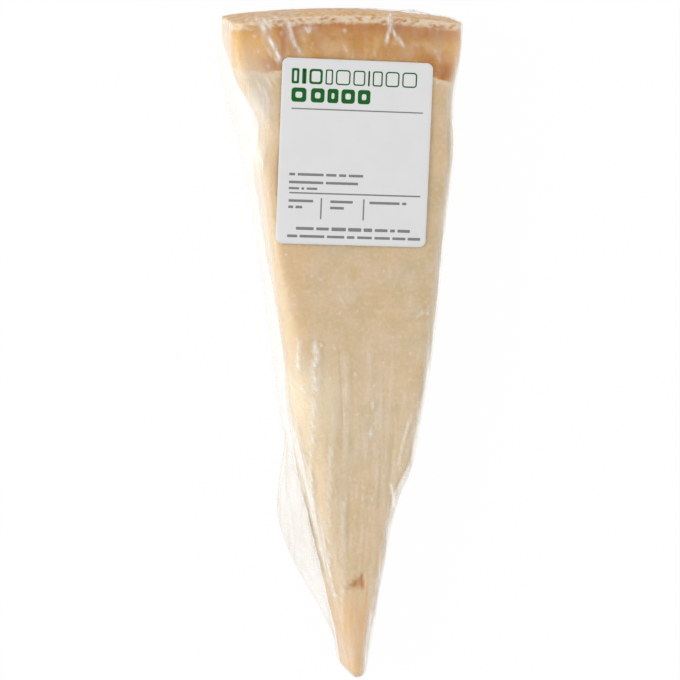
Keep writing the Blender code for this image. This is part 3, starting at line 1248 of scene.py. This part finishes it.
@dataclass
class Film:
    """The clear film drawn tight round the cheese, with its folds, its fin and its gathered ends."""

    form: WedgeForm
    stations: int = 200
    edge_steps: int = 5
    face_steps: int = 10
    section: Section = field(default_factory=Section)
    pleats: int = 36
    broad_count: int = 34
    rind_count: int = 26
    stray_count: int = 130
    stray_on_band: int = 55
    fin_milk: float = 0.30
    flank_milk_and_highlight: float = 0.42
    right_milk_and_highlight: float = 0.95
    right_reach: float = 1.9
    seed: int = 7
    tuft_x: float = 21.0
    tuft_z: float = 22.0
    tuft_reach: float = 1.7

    def build(self) -> bpy.types.Object:
        """Builds and dresses the film.

        Returns:
            The piece.
        """
        rings = self.form.rings(self.stations, self.edge_steps, self.face_steps)
        skin = self.section.loft(self.form, rings, Inset())
        normals = skin.normals()
        local = skin.places - self.form.shift
        along, up = local[:, :, 1], local[:, :, 2]
        ridge, haze = self.folds(skin.around, along, normals)
        unevenness = cloud(skin.places.reshape(-1, 3), (0.8, 0.45, 0.8), 5.0, 3).reshape(haze.shape)
        haze = haze * np.clip(0.85 + 1.1 * unevenness, 0.15, 1.1)
        tuft, tuft_haze = self.tuft(local, normals)
        on_table = eased(up, 1.6, 0.2)
        offset = (ridge * (1.0 - on_table) + tuft)[:, :, None]
        moved = skin.places + normals * offset
        moved[:, :, 2] = np.maximum(moved[:, :, 2], self.form.shift[2])
        piece = closed_loft("clear_film", moved)
        carry(piece, "crease", np.clip(haze + tuft_haze, 0.0, 1.0))
        carry(piece, "veil_and_highlight", self.veil_and_highlight(local, normals))
        carry(piece, "sheen", self.sheen(local, normals))
        dress(piece, FilmFinish().make(), PACK_NODE)
        return piece

    def folds(
        self, around: np.ndarray, along: np.ndarray, normals: np.ndarray
    ) -> tuple[np.ndarray, np.ndarray]:
        """Every fold's height and milkiness, with painted glints added to both.

        Args:
            around: how far round the pack each place is from the top's middle line.
            along: how far along the pack it is.
            normals: its outward direction.

        Returns:
            The height of the folds, and how milky they are with the painted glints.
        """
        ridge, haze = np.zeros(around.shape), np.zeros(around.shape)
        on_top = eased(normals[:, :, 2], 0.0, 0.5)
        half_round = np.abs(around[:, [0, -1]]).mean(axis=1, keepdims=True)
        round_share = around / half_round
        for pleat in self.broad_pleats() + self.tip_pleats() + self.rind_pleats():
            near = pleat.nearness(round_share, half_round, along)
            ridge = np.maximum(ridge, near * pleat.height)
            haze = np.maximum(haze, near * pleat.haze)
        for crease in (*RIND_CREASES, *FACE_CREASES, *self.small_folds()):
            near = crease.nearness(around, along) * on_top
            ridge = np.where(near * abs(crease.height) > np.abs(ridge), near * crease.height, ridge)
            haze = np.maximum(haze, near * crease.haze)
        # Painted glints: small bright spots whitened through the milk value, on small bumps.
        glints = strongest(GLINTS, around, along) * on_top
        return ridge + 0.25 * glints, np.maximum(haze, glints)

    def small_folds(self) -> list[Crease]:
        """Short stray wrinkles: bright ones over the amber band, faint ones over the face."""
        draw = np.random.default_rng(self.seed + 3)
        folds = []
        for index in range(self.stray_count):
            on_band = index < self.stray_on_band
            middle = (draw.uniform(-31.0, 31.0), draw.uniform(83.0, 100.0))
            if not on_band:
                along = draw.uniform(-60.0, 28.0)
                middle = (draw.uniform(-0.9, 0.9) * (20.0 + 0.16 * along), along)
            angle = draw.normal(0.0, 0.5 if on_band else 0.9)
            reach = draw.uniform(0.5, 1.6) if on_band else draw.uniform(0.6, 3.0)
            ahead = (reach * math.sin(angle), reach * math.cos(angle))
            ends = tuple((middle[0] + turn * ahead[0], middle[1] + turn * ahead[1]) for turn in (-1.0, 1.0))
            haze = draw.uniform(0.05, 0.30) if on_band else draw.uniform(0.03, 0.16)
            folds.append(Crease(ends, draw.uniform(0.28, 0.5), draw.uniform(0.05, 0.15), haze))
        return folds

    def broad_pleats(self) -> list[Pleat]:
        """Broad shallow folds down the lower half, all round the pack."""
        draw = np.random.default_rng(self.seed + 2)
        pleats = []
        for share in np.linspace(-0.96, 0.96, self.broad_count):
            start = draw.uniform(-30.0, 6.0)
            width = draw.uniform(0.7, 1.3)
            height = draw.uniform(0.08, 0.22)
            haze = draw.uniform(0.03, 0.14)
            pleats.append(Pleat(share + draw.uniform(-0.02, 0.02), start, -104.0, width, height, haze))
        return pleats

    def tip_pleats(self) -> list[Pleat]:
        """Fine folds that gather towards the tip, all round the pack."""
        draw = np.random.default_rng(self.seed)
        pleats = []
        for share in np.linspace(-0.98, 0.98, self.pleats):
            start = draw.uniform(-75.0, -10.0)
            width = draw.uniform(0.3, 0.6)
            height = draw.uniform(0.08, 0.22)
            haze = draw.uniform(0.02, 0.18)
            pleats.append(Pleat(share + draw.uniform(-0.015, 0.015), start, -104.0, width, height, haze))
        return pleats

    def rind_pleats(self) -> list[Pleat]:
        """Short folds where the film was drawn over the rind's edge."""
        draw = np.random.default_rng(self.seed + 1)
        pleats = []
        for share in np.linspace(-0.95, 0.95, self.rind_count):
            end = draw.uniform(84.0, 96.0)
            width = draw.uniform(0.3, 0.55)
            height = draw.uniform(0.08, 0.22)
            haze = draw.uniform(0.01, 0.12)
            pleats.append(Pleat(share + draw.uniform(-0.02, 0.02), 118.0, end, width, height, haze))
        return pleats

    def tuft(self, local: np.ndarray, normals: np.ndarray) -> tuple[np.ndarray, np.ndarray]:
        """The little gather of film that stands out over the rind."""
        near = swell(local[:, :, 0], self.tuft_x, 5.0) * swell(local[:, :, 2], self.tuft_z, 4.0)
        near = near * eased(normals[:, :, 1], 0.2, 0.8)
        comb = 0.8 + 0.2 * np.sin(local[:, :, 0] * 1.3)
        return near * comb * self.tuft_reach, near * 0.03

    def veil_and_highlight(self, local: np.ndarray, normals: np.ndarray) -> np.ndarray:
        """How milky the film is on its fin and in the hollows, with a painted highlight on its left-facing
        flank and along its right edge.
        """
        across, along = local[:, :, 0], local[:, :, 1]
        facing_left = eased(-normals[:, :, 0], 0.7, 0.99)
        right_edge = swell(self.form.side(along, 2) - across, 0.0, self.right_reach)
        right_edge = right_edge * eased(normals[:, :, 2], -0.3, 0.2)
        beyond = eased(self.form.side(along, 1) - across, 0.0, 1.5)
        near_tip = eased(along, -62.0, -84.0)
        fin = self.fin_milk * beyond * (1.0 - 0.6 * near_tip)
        # Painted highlight: the film that faces the lamp on the left turns white.
        flank = self.flank_milk_and_highlight * eased(along, -14.0, -30.0) * facing_left * (1.0 - beyond) * (1.0 - near_tip)
        clearer = 0.6 * eased(along, 78.0, 90.0) + 0.5 * swell(along, -46.5, 9.0)
        # Painted highlight along the right edge, partly the film's milk where it stands off the cheese.
        right = right_edge * (self.right_milk_and_highlight - clearer)
        patches = strongest(VEILS, across, along) * eased(normals[:, :, 2], -0.1, 0.2)
        return fin + flank + right + patches

    def sheen(self, local: np.ndarray, normals: np.ndarray) -> np.ndarray:
        """How much grazing sheen the film keeps: little at its foot, on its fin, right side and rind."""
        across, along = local[:, :, 0], local[:, :, 1]
        below = eased(-normals[:, :, 2], -0.05, 0.35)
        right = eased(normals[:, :, 0], 0.5, 0.95)
        beyond = eased(self.form.side(along, 1) - across, 0.0, 1.5)
        over_rind = eased(normals[:, :, 1], 0.15, 0.6)
        kept = (1.0 - 0.9 * below) * (1.0 - 0.5 * right) * (1.0 - 0.85 * beyond)
        towards_tip = 1.0 - 0.6 * eased(along, -40.0, -80.0)
        return kept * towards_tip * (1.0 - over_rind)


# ---------------------------------------------------------------------------------------------
# Label
# ---------------------------------------------------------------------------------------------


class Ink(Enum):
    """The label's printing inks."""

    GREEN = "green_print"
    GREY = "grey_print"


@dataclass(frozen=True)
class Bar:
    """A bar of print: its left, top, right and bottom from the label's top left corner."""

    left: float
    top: float
    right: float
    bottom: float
    ink: Ink = Ink.GREY
    line: float = 0.0


@dataclass
class Label:
    """The paper label: a sheet with round corners, and its print as thin plain shapes."""

    form: WedgeForm
    low: Vector
    high: Vector
    width: float = 46.7
    length: float = 56.1
    thickness: float = 0.20
    corner: float = 2.0
    turn: float = math.radians(-2.4)
    lift: float = 0.012
    curl: float = 0.12
    ring_steps: int = 24

    def middle(self) -> np.ndarray:
        """The middle of the label's underside, in the row frame."""
        return np.array([(self.low.x + self.high.x) / 2.0, (self.low.y + self.high.y) / 2.0, self.low.z]) / MM

    def outline(self, half_x: float, half_y: float, corner: float, pitch: float = 1.4) -> np.ndarray:
        """A rectangle with round corners, anticlockwise, with points along its sides."""
        points = []
        for side_x, side_y, start in ((1, -1, -90.0), (1, 1, 0.0), (-1, 1, 90.0), (-1, -1, 180.0)):
            for step in range(7):
                angle = math.radians(start + 15.0 * step)
                x = side_x * (half_x - corner) + corner * math.cos(angle)
                y = side_y * (half_y - corner) + corner * math.sin(angle)
                points.append((x, y))
        dense = []
        for start, end in zip(points, points[1:] + points[:1]):
            steps = max(1, round(math.dist(start, end) / pitch))
            for step in range(steps):
                share = step / steps
                dense.append((start[0] + (end[0] - start[0]) * share, start[1] + (end[1] - start[1]) * share))
        return np.array(dense)

    def laid(self, flat: np.ndarray, up: np.ndarray | float) -> np.ndarray:
        """Turns and moves flat places on the label into the row frame."""
        cos, sin = math.cos(self.turn), math.sin(self.turn)
        x = flat[..., 0] * cos - flat[..., 1] * sin
        y = flat[..., 0] * sin + flat[..., 1] * cos
        z = np.broadcast_to(up, x.shape)
        return np.stack([x, y, z], axis=-1) + self.middle()

    def build(self) -> list[bpy.types.Object]:
        """Builds and dresses the sheet and its print.

        Returns:
            The pieces.
        """
        pieces = [self.sheet()]
        finishes = {
            Ink.GREEN: InkFinish(Ink.GREEN.value, from_srgb(0, 88, 18), from_srgb(14, 102, 34)),
            Ink.GREY: InkFinish(Ink.GREY.value, from_srgb(118, 120, 118), from_srgb(155, 156, 155)),
        }
        for ink, finish in finishes.items():
            bars = [bar for bar in self.print_bars() if bar.ink is ink]
            piece = self.printed(ink.value, bars)
            dress(piece, finish.make(), LABEL_NODE)
            pieces.append(piece)
        return pieces

    def sheet(self) -> bpy.types.Object:
        """The paper sheet, its rim turned down a hair."""
        edge = self.outline(self.width / 2.0, self.length / 2.0, self.corner)
        shares = 1.0 - np.arange(self.ring_steps) / (self.ring_steps - 0.5)
        loops = []
        for share in shares[::-1]:
            loops.append(self.laid(edge * share, self.sag(edge * share)))
        for share, rise in ((1.0, 0.3), (1.0, 0.7), (0.9985, 1.0)):
            loops.append(self.laid(edge * share, self.sag(edge * share) + self.thickness * rise))
        for share in shares[1:]:
            loops.append(self.laid(edge * share, self.sag(edge * share) + self.thickness))
        piece = closed_loft("label_sheet", np.array(loops))
        dress(piece, PaperFinish().make(), LABEL_NODE)
        return piece

    def sag(self, flat: np.ndarray) -> np.ndarray:
        """How far the sheet follows the film down at its corners and over the soft edge."""
        reach = np.hypot(flat[..., 0] / self.width, flat[..., 1] / self.length) * 2.0
        spot = self.laid(flat, 0.0) - self.form.shift
        soft_edge = np.minimum(self.form.drop(spot[..., 0] + 0.4, spot[..., 1]), 1.2)
        return -self.curl * eased(reach, 1.08, 1.35) - soft_edge

    def print_bars(self) -> list[Bar]:
        """The label's print as plain bars, rules and blocks."""
        bars = []
        edges = (3.0, 6.2, 8.4, 13.4, 16.6, 22.0, 26.6, 28.0, 32.0, 37.2, 42.7)
        for index, (left, right) in enumerate(zip(edges, edges[1:])):
            line = 0.70 if index < 3 else 0.42
            bars.append(Bar(left, 3.1, right - 0.9, 7.7, Ink.GREEN, line))
        for left, right in ((3.1, 7.7), (9.1, 13.3), (14.2, 17.6), (18.5, 22.7), (23.6, 27.5)):
            bars.append(Bar(left, 8.9, right, 13.2, Ink.GREEN, 1.25))
        bars += [Bar(3.3, 15.0, 44.1, 15.4), Bar(3.6, 40.4, 44.4, 40.85)]
        bars += [Bar(13.4, 42.0, 13.85, 48.4), Bar(26.6, 42.0, 27.05, 48.4)]
        bars += self.words(34.6, 35.4, (3.4, 5.2, 6.0, 14.0, 14.8, 18.0, 18.8, 21.0, 21.8, 26.3))
        bars += self.words(37.0, 37.8, (3.4, 14.0, 14.8, 24.8))
        bars += self.words(38.9, 39.6, (3.4, 6.6, 7.3, 8.2, 8.9, 12.2))
        bars += self.words(42.6, 43.4, (3.5, 11.1, 16.4, 23.4, 28.6, 38.0, 38.8, 40.1))
        bars += self.words(44.5, 45.3, (3.5, 5.0, 5.7, 7.8, 16.4, 20.7))
        bars += self.words(50.9, 51.8, (6.1, 11.6, 12.4, 16.3, 30.6, 34.6, 35.4, 36.9, 37.7, 41.6))
        bars += [Bar(17.1, 50.8, 21.6, 51.9), Bar(22.3, 50.8, 26.4, 51.9), Bar(27.1, 50.8, 29.8, 51.9)]
        bars += self.words(53.3, 54.1, (3.5, 6.6, 7.3, 15.0, 15.8, 21.2, 22.0, 24.4, 25.2, 29.8, 30.6, 35.4))
        bars += self.words(53.3, 54.1, (36.2, 40.3, 41.0, 44.9))
        return bars

    def words(self, top: float, bottom: float, edges: Sequence[float]) -> list[Bar]:
        """A line of small print as one thin bar for each word, from the words' left and right edges."""
        return [Bar(left, top, right, bottom) for left, right in zip(edges[::2], edges[1::2])]

    def printed(self, name: str, bars: Sequence[Bar]) -> bpy.types.Object:
        """Joins bars of one ink into a piece that lies on the sheet.

        Args:
            name: the piece's name.
            bars: its bars.

        Returns:
            The piece.
        """
        vertices: list = []
        faces: list = []
        for bar in bars:
            self.add_bar(bar, vertices, faces)
        mesh = bpy.data.meshes.new(name)
        mesh.from_pydata([tuple(place * MM) for place in vertices], [], faces)
        mesh.validate()
        piece = bpy.data.objects.new(name, mesh)
        bpy.context.scene.collection.objects.link(piece)
        return piece

    def add_bar(self, bar: Bar, vertices: list, faces: list) -> None:
        """Adds one bar, solid or drawn as a line round its edge, as a thin closed plate."""
        middle = np.array([(bar.left + bar.right) / 2.0, -(bar.top + bar.bottom) / 2.0])
        middle += np.array([-self.width / 2.0, self.length / 2.0])
        half_x, half_y = (bar.right - bar.left) / 2.0, (bar.bottom - bar.top) / 2.0
        corner = min(half_x, half_y) * 0.45
        outer = self.outline(half_x, half_y, corner, pitch=60.0) + middle
        levels = (self.thickness + 0.001, self.thickness + self.lift)
        loops = [self.laid(outer, levels[0]), self.laid(outer, levels[1])]
        if bar.line:
            inner = self.outline(half_x - bar.line, half_y - bar.line, corner * 0.6, pitch=60.0) + middle
            loops += [self.laid(inner, levels[1]), self.laid(inner, levels[0])]
        count, start = len(outer), len(vertices)
        for loop in loops:
            vertices.extend(loop)
        pairs = [(0, 1), (1, 2), (2, 3), (3, 0)] if bar.line else [(0, 1)]
        for near, far in pairs:
            for index in range(count):
                after = (index + 1) % count
                low, high = near * count, far * count
                corners = (low + index, low + after, high + after, high + index)
                faces.append(tuple(start + corner_index for corner_index in corners))
        if not bar.line:
            faces.append(tuple(start + count + index for index in range(count)))
            faces.append(tuple(start + index for index in reversed(range(count))))


# ---------------------------------------------------------------------------------------------
# Studio
# ---------------------------------------------------------------------------------------------


@dataclass
class Studio:
    """The pale floor, the soft lamps and the camera that looks down on the pack."""

    target: Vector
    distance: float = 0.9
    from_left: float = math.radians(12.0)
    from_rind: float = math.radians(6.0)
    seen_width: float = 0.2108
    sensor: float = 36.0
    world_level: float = 0.825
    lamp_distance: float = 0.9
    lamp_size: float = 0.42
    key_elevation: float = math.radians(30.0)
    key_power: float = 3.4
    fill_elevation: float = math.radians(14.0)
    fill_power: float = 2.0
    floor_size: float = 3.0
    floor_glow: float = 0.965

    def build(self) -> None:
        """Builds the whole studio."""
        self.floor()
        self.world()
        self.lamp("key", -1.0, self.key_elevation, self.key_power)
        self.lamp("fill", 1.0, self.fill_elevation, self.fill_power)
        self.camera()
        bpy.context.scene.view_settings.view_transform = "Standard"

    def floor(self) -> None:
        """A pale floor that shows near white to the camera and keeps a soft shadow."""
        bpy.ops.mesh.primitive_plane_add(size=self.floor_size, location=(0.0, 0.0, -0.0003))
        floor = bpy.context.object
        floor.name = "floor"
        bench = Bench("floor_white")
        path = bench.add("ShaderNodeLightPath")
        seen = Signal(bench, path.outputs["Is Camera Ray"])
        seen = seen.larger(Signal(bench, path.outputs["Is Glossy Ray"]))
        seen = seen.larger(Signal(bench, path.outputs["Is Transmission Ray"]))
        matt = bench.add("ShaderNodeBsdfDiffuse", None, {"Color": (0.90, 0.90, 0.90, 1.0)}).outputs[0]
        glow = {"Color": (1.0, 1.0, 1.0, 1.0), "Strength": 1.0}
        white = bench.add("ShaderNodeEmission", None, glow).outputs[0]
        shares = {0: seen * self.floor_glow, 1: matt, 2: white}
        surface = bench.add("ShaderNodeMixShader", None, shares).outputs[0]
        floor.data.materials.append(bench.finish(surface))

    def world(self) -> None:
        """Even white light from all round."""
        world = bpy.data.worlds.new("studio")
        world.use_nodes = True
        bpy.context.scene.world = world
        nodes = world.node_tree.nodes
        nodes["Background"].inputs["Color"].default_value = (1.0, 1.0, 1.0, 1.0)
        nodes["Background"].inputs["Strength"].default_value = self.world_level

    def lamp(self, name: str, side: float, elevation: float, power: float) -> None:
        """Adds one soft lamp.

        Args:
            name: the lamp's name.
            side: -1 for a lamp on the left, 1 for one on the right.
            elevation: its angle above the floor, in radians.
            power: its power in watts.
        """
        data = bpy.data.lights.new(name, "AREA")
        data.shape = "RECTANGLE"
        data.size = self.lamp_size * 1.6
        data.size_y = self.lamp_size
        data.energy = power
        lamp = bpy.data.objects.new(name, data)
        bpy.context.scene.collection.objects.link(lamp)
        direction = Vector((side * math.cos(elevation), 0.12, math.sin(elevation))).normalized()
        lamp.location = self.target + direction * self.lamp_distance
        lamp.rotation_euler = (-direction).to_track_quat("-Z", "Y").to_euler()

    def camera(self) -> None:
        """The camera, nearly straight above, a little to the left and towards the rind."""
        lens = bpy.data.cameras.new("camera")
        lens.sensor_width = self.sensor
        lens.lens = self.sensor * self.distance / self.seen_width
        camera = bpy.data.objects.new("camera", lens)
        bpy.context.scene.collection.objects.link(camera)
        towards = Vector(
            (
                -math.sin(self.from_left) * math.cos(self.from_rind),
                math.sin(self.from_rind),
                math.cos(self.from_left) * math.cos(self.from_rind),
            )
        )
        right = Vector((0.0, 1.0, 0.0)).cross(towards).normalized()
        up = towards.cross(right)
        turned = Matrix((right, up, towards)).transposed().to_4x4()
        camera.matrix_world = Matrix.Translation(self.target + towards * self.distance) @ turned
        bpy.context.scene.camera = camera


def main() -> None:
    """Builds the cheese, its film, its label and the studio."""
    logging.basicConfig(level=logging.INFO, format="%(name)s: %(message)s")
    form = WedgeForm()
    form.fit(*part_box(PACK_NODE))
    Cheese(form).build()
    Film(form).build()
    Label(form, *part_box(LABEL_NODE)).build()
    Studio(Vector(form.shift * MM) + Vector((0.0, 0.0, 0.0135))).build()


if __name__ == "__main__":
    main()
